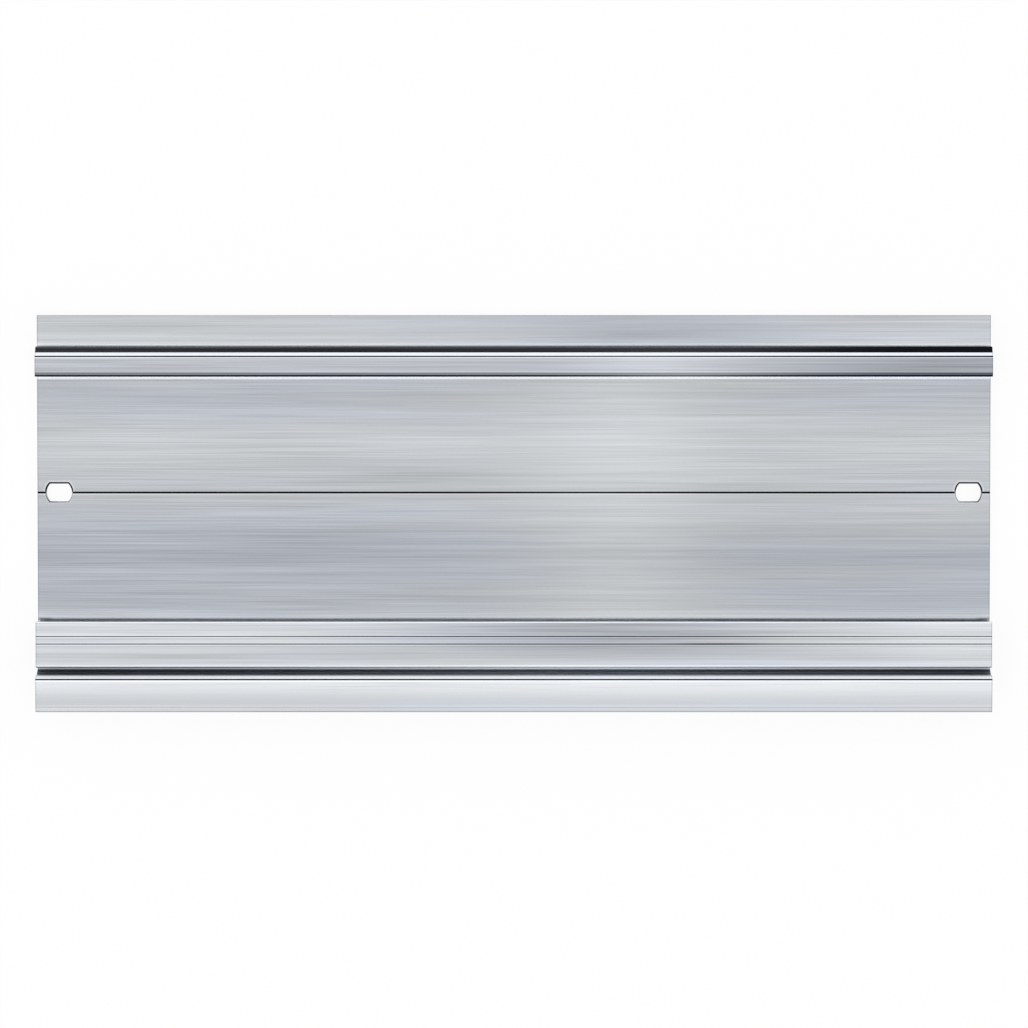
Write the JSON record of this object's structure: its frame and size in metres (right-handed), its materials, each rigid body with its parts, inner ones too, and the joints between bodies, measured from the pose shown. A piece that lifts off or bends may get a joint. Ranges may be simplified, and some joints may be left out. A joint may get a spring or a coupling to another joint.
{
  "type": "mounting rail for programmable controller modules",
  "caption": "Extruded aluminium mounting rail: wide flat web with a hook lip along one edge, a 35 mm clip-on rail section along the other, and a fixing slot at each end",
  "frame": {"origin": "middle of the flat back, at the bottom centre of the bounding box, with the rail lying on its back", "axes": "+X along the rail, +Y across it towards the edge with the hook lip, +Z out of the back towards the side that the modules mount on"},
  "size_m": [0.374, 0.155, 0.016],
  "materials": {
    "aluminium": "natural extruded aluminium with fine drawing lines along its length and a clear anodised coat"
  },
  "bodies": {
    "root": {"mounting_rail": "aluminium"}
  },
  "joints": []
}
